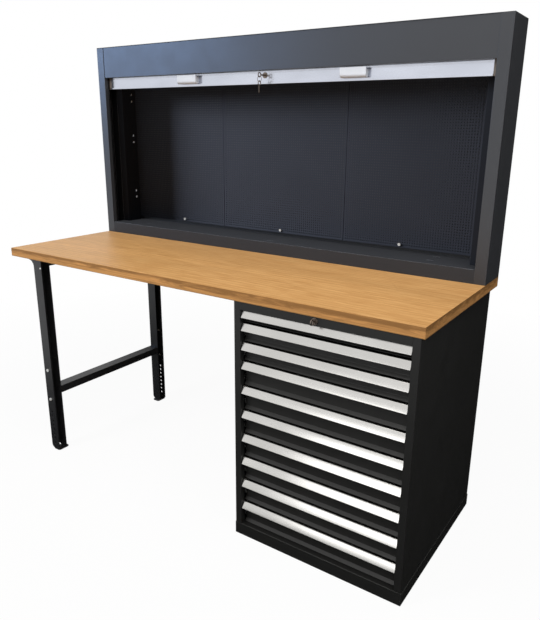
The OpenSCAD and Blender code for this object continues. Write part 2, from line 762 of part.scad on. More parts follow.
// Curtain: groups of slats that lie in layers in the header and slide down one after another
function slat_path(z, h) =
    [[slat_d - slat_t, z], [0, z + h / 4], [0, z + 3 * h / 4], [slat_d - slat_t, z + h]];
module curtain(k) color(alu) {
    h = group_h / slats;
    z = head_z + bar_tuck;
    translate([0, slat_y + (k - 1) * slat_step, 0])
        fold_x([for (i = [0 : slats - 1], p = slat_path(z + i * h, h)) if (i == 0 || p[1] > z + i * h) p],
               -slat_t, -slat_x, slat_x);
}

worktop();
cabinet_sides();
cabinet_back();
cabinet_top();
cabinet_plinth();
cabinet_rails();
cabinet_lock();
lock_bar();
leg_frame();
leg_feet();
fasteners();
upper_sides();
upper_back();
fascia();
sill();
tool_panels();
side_liners();
shutter_guides();
barrel_shaft();
shutter_barrel();
shutter_bar();
shutter_blocks();
shutter_pulls();
shutter_lock();
spare_key();
for (k = [1 : groups]) curtain(k);
for (k = [1 : drawers]) drawer(k - 1);
for (k = [1 : drawers]) drawer_handle(k - 1);
for (k = [1 : drawers]) drawer_slides(k - 1);
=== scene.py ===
import json
import math

import bmesh
import bpy
from bpy.props import FloatProperty, FloatVectorProperty, IntProperty, PointerProperty
from mathutils import Matrix, Vector


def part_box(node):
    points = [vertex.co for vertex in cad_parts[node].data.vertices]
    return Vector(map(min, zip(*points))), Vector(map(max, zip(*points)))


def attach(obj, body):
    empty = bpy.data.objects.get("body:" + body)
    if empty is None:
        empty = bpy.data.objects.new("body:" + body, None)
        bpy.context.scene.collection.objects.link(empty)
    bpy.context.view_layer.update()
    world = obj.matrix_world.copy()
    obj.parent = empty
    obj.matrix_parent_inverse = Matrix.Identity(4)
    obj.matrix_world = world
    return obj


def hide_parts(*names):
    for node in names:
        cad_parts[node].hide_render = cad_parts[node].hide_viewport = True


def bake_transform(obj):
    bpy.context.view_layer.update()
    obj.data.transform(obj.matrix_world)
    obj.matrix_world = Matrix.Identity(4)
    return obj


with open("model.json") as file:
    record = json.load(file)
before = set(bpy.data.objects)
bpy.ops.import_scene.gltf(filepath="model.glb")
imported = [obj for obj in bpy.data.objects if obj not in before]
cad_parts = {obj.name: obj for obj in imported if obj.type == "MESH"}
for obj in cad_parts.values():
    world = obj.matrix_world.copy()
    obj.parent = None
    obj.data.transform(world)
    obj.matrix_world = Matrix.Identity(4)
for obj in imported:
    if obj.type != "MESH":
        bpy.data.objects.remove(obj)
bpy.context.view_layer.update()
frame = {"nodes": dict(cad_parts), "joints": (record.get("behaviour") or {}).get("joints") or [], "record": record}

bl_info = {
    "name": "Workbench with drawer cabinet and shuttered tool cabinet",
    "version": (1, 0, 0),
    "blender": (4, 5, 0),
    "location": "3D View > Sidebar > Workbench",
    "description": "Dresses the packed workbench: finishes, perforated panels, handles and shutter",
    "category": "Add Mesh",
}

NODES = frame["nodes"]
SLOT_OF = {row["node"]: row["material_slot"] for row in frame["record"]["subparts"]}
TRAVEL = next(j for j in frame["joints"] if j["name"] == "shutter_slide")["range_m"][1]
HANDLES = [name for name in NODES if name.startswith("drawer_handle_")]
CURTAIN = [name for name in NODES if name.startswith("curtain_")]
OWN_FINISH = {"side_liners": "liner_paint", "shutter_guides": "guide_paint", "sill": "sill_paint",
              "cabinet_plinth": "plinth_paint", "shutter_bar": "bar_aluminium"}
# Filled by the steps: the finishes by name, and the tool panels, which the stage lights apart
FINISH = {}
PANELS = []


class BenchSizes(bpy.types.PropertyGroup):
    """Sizes of what the frame leaves open."""

    sheet_round: FloatProperty(
        name="Sheet rounding", description="Radius along the edges of painted sheet", default=0.0006,
        unit="LENGTH")
    bar_round: FloatProperty(
        name="Bar rounding", description="Radius along the edges of bars, boards and mouldings",
        default=0.0009, unit="LENGTH")
    # The lighter band along painted edges is partly abraded paint and partly a painted highlight
    wear_and_highlight_width: FloatProperty(
        name="Wear width", description="How far the rubbed lines reach in from a painted edge",
        default=0.0016, unit="LENGTH")
    panel_sheet: FloatProperty(
        name="Panel sheet", description="Thickness of a tool panel's sheet", default=0.0012,
        unit="LENGTH")
    panel_joint: FloatProperty(
        name="Panel joint", description="Gap between two tool panels", default=0.0026, unit="LENGTH")
    hole_pitch: FloatProperty(
        name="Hole pitch", description="Distance between two holes of a tool panel", default=0.009,
        unit="LENGTH")
    hole_size: FloatProperty(
        name="Hole size", description="Diameter of a hole in a tool panel", default=0.0046, unit="LENGTH")
    handle_wall: FloatProperty(
        name="Handle wall", description="Thickness of a handle strip", default=0.0016, unit="LENGTH")
    handle_ledge: FloatProperty(
        name="Handle ledge", description="How far a handle's face leans back from its foot to its top",
        default=0.011, unit="LENGTH")
    handle_lip: FloatProperty(
        name="Handle lip", description="Depth of the lip that the fingers take hold of", default=0.005,
        unit="LENGTH")
    handle_bend: FloatProperty(
        name="Handle bend", description="Outer radius along a handle's top", default=0.0045,
        unit="LENGTH")
    lip_bend: FloatProperty(
        name="Lip bend", description="Outer radius along a handle's foot", default=0.002, unit="LENGTH")
    slat_pitch: FloatProperty(
        name="Slat pitch", description="Height of one slat of the lowered shutter", default=0.034,
        unit="LENGTH")
    slat_bulge: FloatProperty(
        name="Slat bulge", description="How far a slat bows out to the front", default=0.0028,
        unit="LENGTH")
    slat_wall: FloatProperty(
        name="Slat wall", description="Thickness of a slat", default=0.001, unit="LENGTH")
    screw_reach: FloatProperty(
        name="Screw radius", description="Radius of the screw heads near the top of the legs",
        default=0.0038, unit="LENGTH")
    screw_drop: FloatProperty(
        name="Screw drop", description="How far those screws sit below the top of the legs",
        default=0.030, unit="LENGTH")
    pull_wall: FloatProperty(
        name="Pull wall", description="Thickness of a finger pull's wall and end plates", default=0.002,
        unit="LENGTH")
    slot_heights: FloatVectorProperty(
        name="Slot heights", description="Shelf slots' pairs above the sill", size=3,
        default=(0.120, 0.361, 0.532), unit="LENGTH")
    slot_pair: FloatProperty(
        name="Slot pair", description="Distance between the two slots of a pair", default=0.028,
        unit="LENGTH")
    slot_height: FloatProperty(
        name="Slot height", description="Height of a shelf slot", default=0.008, unit="LENGTH")
    slot_inset: FloatProperty(
        name="Slot inset", description="From a shelf slot's middle to the tool panels", default=0.024,
        unit="LENGTH")
    clip_wall: FloatProperty(
        name="Clip wall", description="Thickness of a shelf clip", default=0.0014, unit="LENGTH")
    clip_width: FloatProperty(
        name="Clip width", description="Width of a shelf clip", default=0.0032, unit="LENGTH")
    arc_steps: IntProperty(
        name="Arc steps", description="Straight pieces in a bend", default=7, min=2)


class BenchColours(bpy.types.PropertyGroup):
    """Colours of the finishes."""

    wood_face: FloatVectorProperty(
        name="Wood face", description="Oiled face of the worktop", subtype="COLOR",
        default=(0.735, 0.422, 0.166))
    wood_streak: FloatVectorProperty(
        name="Wood streak", description="Darker grain and figure of the wood", subtype="COLOR",
        default=(0.40, 0.188, 0.057))
    wood_edge: FloatVectorProperty(
        name="Wood edge", description="Edges of the worktop", subtype="COLOR",
        default=(0.61, 0.298, 0.098))
    dark_paint: FloatVectorProperty(
        name="Dark paint", description="Drawer cabinet and inner sheets", subtype="COLOR",
        default=(0.010, 0.010, 0.0095))
    liner_paint: FloatVectorProperty(
        name="Liner paint", description="Side liners of the upper cabinet", subtype="COLOR",
        default=(0.020, 0.0215, 0.026))
    guide_paint: FloatVectorProperty(
        name="Guide paint", description="Guides of the shutter", subtype="COLOR",
        default=(0.0035, 0.0035, 0.0038))
    drawer_paint: FloatVectorProperty(
        name="Drawer paint", description="Drawer fronts and trays", subtype="COLOR",
        default=(0.016, 0.0155, 0.0145))
    leg_paint: FloatVectorProperty(
        name="Leg paint", description="Leg frame and feet", subtype="COLOR",
        default=(0.012, 0.012, 0.013))
    grey_paint: FloatVectorProperty(
        name="Grey paint", description="Upper cabinet", subtype="COLOR", default=(0.034, 0.036, 0.041))
    panel_paint: FloatVectorProperty(
        name="Panel paint", description="Perforated tool panels", subtype="COLOR",
        default=(0.036, 0.0385, 0.047))
    aluminium: FloatVectorProperty(
        name="Aluminium", description="Handles and slats", subtype="COLOR", default=(0.56, 0.55, 0.53))
    # The bar's blue tint is a painted reflection of the cool light at the left
    bar_aluminium: FloatVectorProperty(
        name="Bar aluminium", description="Bottom bar of the shutter", subtype="COLOR",
        default=(0.575, 0.60, 0.675))
    zinc_steel: FloatVectorProperty(
        name="Zinc steel", description="Fasteners and slides", subtype="COLOR",
        default=(0.78, 0.78, 0.76))
    nickel_steel: FloatVectorProperty(
        name="Nickel steel", description="Locks and keys", subtype="COLOR", default=(0.20, 0.165, 0.14))
    pull_plastic: FloatVectorProperty(
        name="Pull plastic", description="Finger pulls", subtype="COLOR", default=(0.71, 0.745, 0.815))
    block_plastic: FloatVectorProperty(
        name="Block plastic", description="End blocks of the bottom bar", subtype="COLOR",
        default=(0.19, 0.16, 0.14))


class BenchStage(bpy.types.PropertyGroup):
    """Camera, floor and light."""

    camera_place: FloatVectorProperty(
        name="Camera place", description="Where the camera stands", subtype="TRANSLATION",
        default=(1.3387, -1.7067, 1.3126))
    camera_yaw: FloatProperty(
        name="Camera yaw", description="Turn to the right of the bench's depth axis", subtype="ANGLE",
        default=math.radians(-34.264))
    camera_pitch: FloatProperty(
        name="Camera pitch", description="Tilt above the horizon", subtype="ANGLE",
        default=math.radians(-16.731))
    camera_roll: FloatProperty(
        name="Camera roll", description="Turn about the line of sight", subtype="ANGLE",
        default=math.radians(0.462))
    lens: FloatProperty(
        name="Lens", description="Focal length for a 36 mm long side", default=35.666, unit="CAMERA")
    shift: FloatVectorProperty(
        name="Lens shift", description="Shift of the frame, in shares of its long side", size=2,
        default=(-0.0014, -0.0015))
    sky: FloatProperty(name="Sky", description="Strength of the even light from all round", default=0.14)
    top: FloatProperty(
        name="Top light", description="Power of the lamp above", default=69.0, unit="POWER")
    key: FloatProperty(
        name="Key light", description="Power of the lamp at the left front", default=74.0, unit="POWER")
    window: FloatProperty(
        name="Window light", description="Power of the cool lamp that shows in the paint at the left",
        default=40.0, unit="POWER")
    side: FloatProperty(
        name="Side light", description="Power of the lamp at the left for the panels and liners",
        default=415.0, unit="POWER")
    strip: FloatProperty(
        name="Strip light", description="Power of the low lamp that shows in the metal", default=4.4,
        unit="POWER")


def sizes():
    return bpy.context.scene.workbench_sizes


def colours():
    return bpy.context.scene.workbench_colours


def tint(colour, factor):
    """A colour made lighter or darker, with full alpha."""
    return tuple(min(1.0, c * factor) for c in colour[:3]) + (1.0,)


class Finish:
    """One procedural material, built node by node in the part's own coordinates."""

    def __init__(self, name, **constants):
        self.material = bpy.data.materials.new(name)
        self.material.use_nodes = True
        self.tree = self.material.node_tree
        self.shader = self.tree.nodes["Principled BSDF"]
        for socket, value in constants.items():
            self.shader.inputs[socket.replace("_", " ")].default_value = value
        self.place = self.node("TexCoord").outputs["Object"]

    def node(self, kind, inputs=None, **settings):
        """A new node with its settings, and with its inputs linked or set."""
        made = self.tree.nodes.new("ShaderNode" + kind)
        for key, value in settings.items():
            setattr(made, key, value)
        for key, value in (inputs or {}).items():
            if isinstance(value, bpy.types.NodeSocket):
                self.tree.links.new(value, made.inputs[key])
            else:
                made.inputs[key].default_value = value
        return made

    def noise(self, scale, stretch=(1, 1, 1), detail=3.0, roughness=0.55, distortion=0.0):
        """Noise with so many features per metre, along each axis in the shares that stretch gives."""
        spot = self.node("Mapping", {"Vector": self.place, "Scale": tuple(scale * s for s in stretch)})
        return self.node("TexNoise", {
            "Vector": spot.outputs["Vector"], "Scale": 1.0, "Detail": detail, "Roughness": roughness,
            "Distortion": distortion}).outputs["Fac"]

    def math(self, operation, a, b=0.0):
        """One sum, product or the like of two values."""
        return self.node("Math", {0: a, 1: b}, operation=operation).outputs[0]

    def span(self, value, low, high, start=0.3, end=0.7):
        """A value that runs from low to high while the given one runs from start to end."""
        made = self.node("MapRange", {
            "Value": value, "From Min": start, "From Max": end, "To Min": low, "To Max": high})
        return made.outputs["Result"]

    def ramp(self, value, *stops):
        """A colour that runs through the stops, each a position and a colour."""
        made = self.node("ValToRGB", {"Fac": value})
        bar = made.color_ramp.elements
        while len(bar) < len(stops):
            bar.new(0.5)
        for element, (position, colour) in zip(bar, stops):
            element.position = position
            element.color = colour
        return made.outputs["Color"]

    def mix(self, share, a, b):
        """Colour a with a share of colour b."""
        return self.node("Mix", {0: share, 6: a, 7: b}, data_type="RGBA").outputs[2]

    def edges(self, width):
        """A share that rises to 1 along the edges, and a normal that runs smoothly round them."""
        soft = self.node("Bevel", {"Radius": width}, samples=4).outputs["Normal"]
        true = self.node("NewGeometry").outputs["Normal"]
        along = self.node("VectorMath", {0: soft, 1: true}, operation="DOT_PRODUCT").outputs["Value"]
        return self.span(along, 1.0, 0.0, 0.75, 0.995), soft

    def surface(self, colour, roughness, height, depth, strength, normal=None):
        """Links the shader's colour, roughness and bump, and gives the finished material."""
        bump = self.node("Bump", {"Height": height, "Distance": depth, "Strength": strength})
        if normal:
            self.tree.links.new(normal, bump.inputs["Normal"])
        inputs = {"Base Color": colour, "Roughness": roughness, "Normal": bump.outputs["Normal"]}
        for socket, value in inputs.items():
            self.tree.links.new(value, self.shader.inputs[socket])
        return self.material


def powder_coat(name, colour, shine, rough, wear_and_highlight=1.9):
    """Satin powder coat: a faint cloudiness, an orange-peel skin, and edges made lighter, partly as abraded paint
    and partly as a painted highlight that is strongest where the edges face up.
    """
    f = Finish(name, Specular_IOR_Level=shine)
    cloud = f.ramp(f.noise(2.6, detail=4.0), (0.3, tint(colour, 0.95)), (0.7, tint(colour, 1.05)))
    speck = f.noise(900.0, detail=1.0)
    speckled = f.mix(f.span(speck, 0.0, 0.25), cloud, tint(colour, 1.4))
    rubbed_and_highlit, soft = f.edges(sizes().wear_and_highlight_width)
    # Painted highlight: edges that face up are made lighter, as if light fell on them from above
    upward_painted_light = f.span(f.node("SeparateXYZ", {"Vector": soft}).outputs["Z"], 0.3, 1.0, 0.0, 0.4)
    patchy_wear_and_light = f.math("MULTIPLY", upward_painted_light, f.span(f.noise(38.0, detail=4.0), 0.45, 1.0))
    # Edges are painted lighter by the given factor, partly as abraded paint and partly as a painted highlight
    worn_and_highlit = f.mix(f.math("MULTIPLY", rubbed_and_highlit, patchy_wear_and_light), speckled, tint(colour, wear_and_highlight))
    return f.surface(worn_and_highlit, f.span(f.noise(14.0), rough - 0.025, rough + 0.03), speck, 0.00012, 0.45, soft)


def satin_aluminium(name, colour):
    """Anodised aluminium, drawn along X, with soft broad lighter blotches painted in as reflections."""
    f = Finish(name, Metallic=1.0)
    drawn = f.noise(1.0, (7.0, 1100.0, 1100.0), detail=4.0)
    reflection_patches = f.noise(1.0, (4.2, 11.0, 11.0), detail=2.0)
    lines = f.ramp(drawn, (0.25, tint(colour, 0.97)), (0.75, tint(colour, 1.03)))
    # Painted reflections: broad soft blotches made lighter than the metal
    with_painted_reflections = f.mix(f.span(reflection_patches, 0.0, 0.8), lines, tint(colour, 1.18))
    rough = f.math("ADD", f.span(drawn, 0.15, 0.20), f.span(reflection_patches, 0.0, 0.07))
    return f.surface(with_painted_reflections, rough, drawn, 0.00003, 0.2)


def plated_steel(name, colour, rough, metallic=1.0):
    """Plated steel: small crystals in the plating and fine handling marks, less metallic where dulled."""
    f = Finish(name, Metallic=metallic)
    crystals = f.node("TexVoronoi", {"Vector": f.place, "Scale": 420.0}).outputs["Distance"]
    marks = f.noise(1.0, (90.0, 90.0, 900.0), detail=3.0)
    plated = f.ramp(crystals, (0.1, tint(colour, 1.12)), (0.8, tint(colour, 0.88)))
    return f.surface(plated, f.span(marks, rough - 0.07, rough + 0.09), marks, 0.00003, 0.3)


def moulded_plastic(name, colour, rough):
    """Moulded plastic with a fine spark-eroded skin."""
    f = Finish(name, Specular_IOR_Level=0.4)
    skin = f.noise(1500.0, detail=1.0)
    clouds = f.ramp(f.noise(22.0), (0.3, tint(colour, 0.95)), (0.7, tint(colour, 1.04)))
    return f.surface(clouds, f.span(skin, rough - 0.06, rough + 0.06), skin, 0.00006, 0.4)


def board_wood(name, face, streak, edge, foot, top):
    """Oiled hardwood: flowing grain with darker swirls, and flamed brown bands along its edges."""
    f = Finish(name, Specular_IOR_Level=0.16)
    tones = f.noise(1.0, (0.9, 6.0, 6.0), detail=3.0, distortion=0.8)
    grain = f.noise(1.0, (9.0, 150.0, 150.0), detail=5.0, roughness=0.65, distortion=0.6)
    swirl = f.noise(1.0, (2.0, 15.0, 15.0), detail=5.0, roughness=0.6, distortion=2.0)
    pores = f.noise(1.0, (30.0, 700.0, 700.0), detail=2.0)
    along = f.node("Mapping", {"Vector": f.place, "Scale": (0.16, 1.0, 1.0)}).outputs["Vector"]
    rings = f.node("TexWave", {"Vector": along, "Scale": 15.0, "Distortion": 11.0, "Detail": 3.0,
                               "Detail Scale": 0.45}, bands_direction="Y").outputs["Fac"]
    flat = f.ramp(tones, (0.32, tint(face, 0.90)), (0.52, tint(face, 1.0)), (0.70, tint(face, 1.08)))
    ringed = f.mix(f.span(rings, 0.34, 0.0, 0.0, 0.55), flat, tint(streak, 1.2))
    grained = f.mix(f.span(grain, 0.7, 0.0, 0.36, 0.60), ringed, tint(streak, 1.25))
    figured = f.mix(f.span(swirl, 0.0, 0.5, 0.56, 0.76), grained, tint(streak, 1.05))
    pored = f.mix(f.span(pores, 0.0, 0.3, 0.58, 0.72), figured, tint(streak, 0.7))
    height = f.span(f.node("SeparateXYZ", {"Vector": f.place}).outputs["Z"], 0.0, 1.0, foot, top)
    flame = f.noise(1.0, (6.0, 16.0, 60.0), detail=6.0, roughness=0.68, distortion=0.6)
    layers = f.noise(1.0, (2.4, 40.0, 260.0), detail=4.0, roughness=0.6)
    layered = f.ramp(layers, (0.34, tint(edge, 0.78)), (0.5, tint(edge, 1.0)), (0.66, tint(edge, 1.15)))
    reach = f.math("ADD", height, f.span(flame, -0.5, 0.5))
    flamed = f.mix(f.span(reach, 0.0, 0.9, 0.30, 0.80), layered, tint(streak, 0.70))
    edged = f.mix(f.span(height, 0.6, 0.0, 0.0, 0.12), flamed, tint(streak, 0.5))
    lift = f.node("SeparateXYZ", {"Vector": f.node("NewGeometry").outputs["True Normal"]}).outputs["Z"]
    flatness = f.span(f.math("ABSOLUTE", lift), 0.0, 1.0, 0.6, 0.8)
    wood = f.mix(flatness, edged, pored)
    rough = f.math("ADD", f.span(grain, 0.36, 0.48), f.span(pores, 0.0, 0.1, 0.58, 0.72))
    return f.surface(wood, rough, f.math("SUBTRACT", grain, pores), 0.00010, 0.5)


def piece(name, mesh, slot, body=None, replaced=()):
    """A new mesh in the slot's finish, which rides the body and stands for the nodes that it replaces."""
    made = bpy.data.objects.new(name, mesh)
    bpy.context.scene.collection.objects.link(made)
    mesh.materials.append(FINISH[slot])
    if body:
        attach(made, body)
    if replaced:
        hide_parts(*replaced)
    return made


def round_edges(made, radius):
    """Welds a mesh's split corners and rounds its sharp edges, without touching the mesh itself."""
    weld = made.modifiers.new("weld", "WELD")
    weld.merge_threshold = 1e-5
    bevel = made.modifiers.new("edges", "BEVEL")
    bevel.width = radius
    bevel.segments = 2
    bevel.limit_method = "ANGLE"
    bevel.angle_limit = math.radians(38)
    bevel.harden_normals = True


def mesh_from(name, points, faces, smooth_below=None):
    """A mesh whose faces all look outwards, smooth where they meet at less than the given angle."""
    mesh = bpy.data.meshes.new(name)
    mesh.from_pydata(points, [], faces)
    build = bmesh.new()
    build.from_mesh(mesh)
    bmesh.ops.recalc_face_normals(build, faces=build.faces[:])
    build.to_mesh(mesh)
    build.free()
    if smooth_below:
        mesh.shade_smooth()
        mesh.set_sharp_from_angle(angle=smooth_below)
    return mesh


def band(start, end, count):
    """Faces between two closed rings of so many points each."""
    return [(start + i, start + (i + 1) % count, end + (i + 1) % count, end + i) for i in range(count)]


def left_of(way):
    return Vector((-way.y, way.x))


def folded(corners, radii, wall):
    """Outer and inner line of a strip that is bent to the left at its inner corners, in its own plane."""
    ways = [(b - a).normalized() for a, b in zip(corners, corners[1:])]
    outer, inner = [corners[0]], [corners[0] + wall * left_of(ways[0])]
    for corner, into, out, radius in zip(corners[1:], ways, ways[1:], radii):
        turn = into.angle(out)
        centre = corner - into * radius * math.tan(turn / 2) + radius * left_of(into)
        for i in range(sizes().arc_steps + 1):
            spoke = -left_of(into)
            spoke.rotate(Matrix.Rotation(turn * i / sizes().arc_steps, 2))
            outer.append(centre + radius * spoke)
            inner.append(centre + (radius - wall) * spoke)
    outer.append(corners[-1])
    inner.append(corners[-1] + wall * left_of(ways[-1]))
    return outer, inner


class WORKBENCH_OT_finish_frame(bpy.types.Operator):
    """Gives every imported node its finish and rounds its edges"""

    bl_idname = "workbench.finish_frame"
    bl_label = "Finish the packed nodes"

    def execute(self, context):
        c = colours()
        foot, top = (corner.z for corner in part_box("worktop"))
        FINISH.update(
            wood=board_wood("oiled_board", c.wood_face, c.wood_streak, c.wood_edge, foot, top),
            dark_paint=powder_coat("dark_powder_coat", c.dark_paint, shine=0.40, rough=0.45, wear_and_highlight=4.0),
            drawer_paint=powder_coat("drawer_powder_coat", c.drawer_paint, shine=0.45, rough=0.42, wear_and_highlight=3.0),
            # The plinth's strong edge factor paints bright highlight lines along its edges, most on those that
            # face up
            plinth_paint=powder_coat("scuffed_and_highlit_powder_coat", c.dark_paint, shine=0.40, rough=0.45, wear_and_highlight=22.0),
            liner_paint=powder_coat("liner_powder_coat", c.liner_paint, shine=0.03, rough=0.55),
            # The guides' very strong edge factor paints bright highlight lines along their edges
            guide_paint=powder_coat("guide_powder_coat", c.guide_paint, shine=0.05, rough=0.55, wear_and_highlight=150.0),
            leg_paint=powder_coat("leg_powder_coat", c.leg_paint, shine=0.45, rough=0.42, wear_and_highlight=3.0),
            grey_paint=powder_coat("grey_powder_coat", c.grey_paint, shine=0.45, rough=0.42),
            # The sill's strong edge factor paints a bright highlight line along its edges, most along its top
            # front edge
            sill_paint=powder_coat("sill_powder_coat", c.grey_paint, shine=0.20, rough=0.55, wear_and_highlight=14.0),
            panel_paint=powder_coat("panel_powder_coat", c.panel_paint, shine=0.03, rough=0.55),
            aluminium=satin_aluminium("satin_aluminium", c.aluminium),
            # The bar's finish is tinted blue as a painted reflection of the cool light at the left
            bar_aluminium=satin_aluminium("bar_aluminium", c.bar_aluminium),
            zinc_steel=plated_steel("zinc_plate", c.zinc_steel, rough=0.4, metallic=0.5),
            nickel_steel=plated_steel("nickel_plate", c.nickel_steel, rough=0.27),
            pull_plastic=moulded_plastic("pale_plastic", c.pull_plastic, rough=0.42),
            block_plastic=moulded_plastic("brown_plastic", c.block_plastic, rough=0.5),
        )
        thick = ("wood", "aluminium", "pull_plastic", "block_plastic", "leg_paint")
        for name, node in NODES.items():
            node.data.materials.clear()
            node.data.materials.append(FINISH[OWN_FINISH.get(name, SLOT_OF[name])])
            round_edges(node, sizes().bar_round if SLOT_OF[name] in thick else sizes().sheet_round)
        return {"FINISHED"}


class WORKBENCH_OT_make_tool_panels(bpy.types.Operator):
    """Makes the three perforated tool panels, with their folded sides"""

    bl_idname = "workbench.make_tool_panels"
    bl_label = "Make the tool panels"

    def execute(self, context):
        lo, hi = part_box("tool_panels")
        joint, sheet = sizes().panel_joint, sizes().panel_sheet
        width = (hi.x - lo.x - 2 * joint) / 3
        for i, side in enumerate(("left", "middle", "right")):
            x0 = lo.x + i * (width + joint)
            mesh = self.panel("tool_panel_" + side, x0, x0 + width, lo.z, hi.z, lo.y, lo.y + sheet, hi.y)
            PANELS.append(piece("tool_panel_" + side, mesh, "panel_paint", "bench", ["tool_panels"]))
        return {"FINISHED"}

    def panel(self, name, x0, x1, z0, z1, front, back, fold):
        """A sheet with a square grid of eight-sided holes, and a fold down each side."""
        pitch, reach = sizes().hole_pitch, sizes().hole_size / 2
        columns, rows = int((x1 - x0) / pitch) - 1, int((z1 - z0) / pitch) - 1
        left, foot = (x0 + x1 - columns * pitch) / 2, (z0 + z1 - rows * pitch) / 2
        points, faces = [], []

        def lattice(y):
            start = len(points)
            points.extend((left + i * pitch, y, foot + k * pitch)
                          for k in range(rows + 1) for i in range(columns + 1))
            return start

        def rim(y):
            start = len(points)
            points.extend((x, y, z) for x, z in ((x0, z0), (x1, z0), (x1, z1), (x0, z1)))
            return start

        def holes(y):
            start = len(points)
            turns = [math.pi * (2 * n + 1) / 8 for n in range(8)]
            ring = [(reach * math.cos(t), reach * math.sin(t)) for t in turns]
            points.extend((left + (i + 0.5) * pitch + u, y, foot + (k + 0.5) * pitch + v)
                          for k in range(rows) for i in range(columns) for u, v in ring)
            return start

        def skin(grid, corner, hole):
            wide = columns + 1
            # Each side of a cell, with the two points of its hole that lie opposite
            sides = ((0, 5, 6), (1, 7, 0), (2, 1, 2), (3, 3, 4))
            for k in range(rows):
                for i in range(columns):
                    a = grid + k * wide + i
                    quad = (a, a + 1, a + wide + 1, a + wide)
                    h = hole + 8 * (k * columns + i)
                    for q, m, n in sides:
                        faces.append((quad[q], quad[(q + 1) % 4], h + n, h + m))
                        faces.append((quad[(q + 1) % 4], h + (n + 1) % 8, h + n))
            rim_runs = (
                [grid + i for i in range(wide)],
                [grid + columns + k * wide for k in range(rows + 1)],
                [grid + rows * wide + i for i in reversed(range(wide))],
                [grid + k * wide for k in reversed(range(rows + 1))],
            )
            for q, run in enumerate(rim_runs):
                faces.append((corner + q, corner + (q + 1) % 4, *reversed(run)))

        grids = [lattice(y) for y in (front, back)]
        corners = [rim(y) for y in (front, back)]
        rings = [holes(y) for y in (front, back)]
        for grid, corner, ring in zip(grids, corners, rings):
            skin(grid, corner, ring)
        for n in range(columns * rows):
            faces.extend(band(rings[0] + 8 * n, rings[1] + 8 * n, 8))
        a, b = corners
        faces.extend((a + (q + 1) % 4, a + q, b + q, b + (q + 1) % 4) for q in range(4))
        thick = back - front
        for u0, u1 in ((x0, x0 + thick), (x1 - thick, x1)):
            start = len(points)
            section = ((u0, back), (u1, back), (u1, fold), (u0, fold))
            points.extend((x, y, z) for z in (z0, z1) for x, y in section)
            faces.extend(tuple(start + v for v in q) for q in (
                (3, 2, 1, 0), (4, 5, 6, 7), (0, 1, 5, 4), (1, 2, 6, 5), (2, 3, 7, 6), (3, 0, 4, 7)))
        return mesh_from(name, points, faces)


class WORKBENCH_OT_make_handles(bpy.types.Operator):
    """Makes the drawers' handle strips, each one bent from a strip of aluminium"""

    bl_idname = "workbench.make_handles"
    bl_label = "Make the handle strips"

    def execute(self, context):
        s = sizes()
        for name in HANDLES:
            lo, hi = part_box(name)
            corners = [Vector(c) for c in (
                (hi.y, hi.z), (lo.y + s.handle_ledge, hi.z), (lo.y, lo.z), (lo.y + s.handle_lip, lo.z))]
            outer, inner = folded(corners, (s.handle_bend, s.lip_bend), s.handle_wall)
            mesh = self.strip(name + "_strip", outer, inner, lo.x, hi.x)
            piece(name + "_strip", mesh, "aluminium", name.replace("drawer_handle", "drawer"), [name])
        return {"FINISHED"}

    def strip(self, name, outer, inner, left, right):
        """The bent strip from end to end, closed by a row of faces at each end."""
        loop = [*outer, *reversed(inner)]
        count = len(loop)
        points = [(x, y, z) for x in (left, right) for y, z in loop]
        faces = band(0, count, count)
        for start in (0, count):
            faces.extend((start + i, start + i + 1, start + count - 2 - i, start + count - 1 - i)
                         for i in range(len(outer) - 1))
        return mesh_from(name, points, faces, smooth_below=math.radians(30))


class WORKBENCH_OT_make_curtain(bpy.types.Operator):
    """Makes the slat curtain, which lies folded in the header"""

    bl_idname = "workbench.make_curtain"
    bl_label = "Make the curtain"

    def execute(self, context):
        lo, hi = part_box(CURTAIN[0])
        bulge, wall = sizes().slat_bulge, sizes().slat_wall
        y = lo.y + bulge + wall
        drop = hi.z - lo.z
        halvings = 40

        def spread(t):
            """How far below the header a point hangs when the shutter is down."""
            return drop * t + TRAVEL * t * t * (3 - 2 * t)

        def rest_height(hung):
            """Where a point that then hangs so far below the header lies at rest."""
            low, high = 0.0, 1.0
            for _ in range(halvings):
                mid = (low + high) / 2
                low, high = (mid, high) if spread(mid) < hung else (low, mid)
            return hi.z - drop * low

        length = spread(1.0)
        slats = round(length / sizes().slat_pitch)
        pitch = length / slats
        # Places along one slat from its seam on, in shares of the pitch
        steps = (0.0, 0.06, 0.1, 0.3, 0.5, 0.7, 0.9, 0.94)
        # Share of the bulge that a slat has at its edges
        edge = 0.45
        path = [(i + s) * pitch for i in range(slats) for s in steps] + [length]
        bow = [bulge * (edge + (1 - edge) * math.sin(math.pi * s)) if s else 0.0 for s in steps]
        depth = bow * slats + [0.0]
        points, faces = [], []
        for x in (lo.x, hi.x):
            points.extend((x, y - d, rest_height(p)) for p, d in zip(path, depth))
            points.extend((x, y - d + wall, rest_height(p)) for p, d in zip(path, depth))
        n = len(path)
        for i in range(n - 1):
            faces.append((i, 2 * n + i, 2 * n + i + 1, i + 1))
            faces.append((n + i + 1, 3 * n + i + 1, 3 * n + i, n + i))
            faces.append((i + 1, n + i + 1, n + i, i))
            faces.append((2 * n + i, 3 * n + i, 3 * n + i + 1, 2 * n + i + 1))
        faces.append((0, n, 3 * n, 2 * n))
        faces.append((2 * n + n - 1, 3 * n + n - 1, n + n - 1, n - 1))
        mesh = mesh_from("shutter_curtain", points, faces)
        curtain = piece("shutter_curtain", mesh, "aluminium", replaced=CURTAIN)
        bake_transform(curtain)
        return {"FINISHED"}


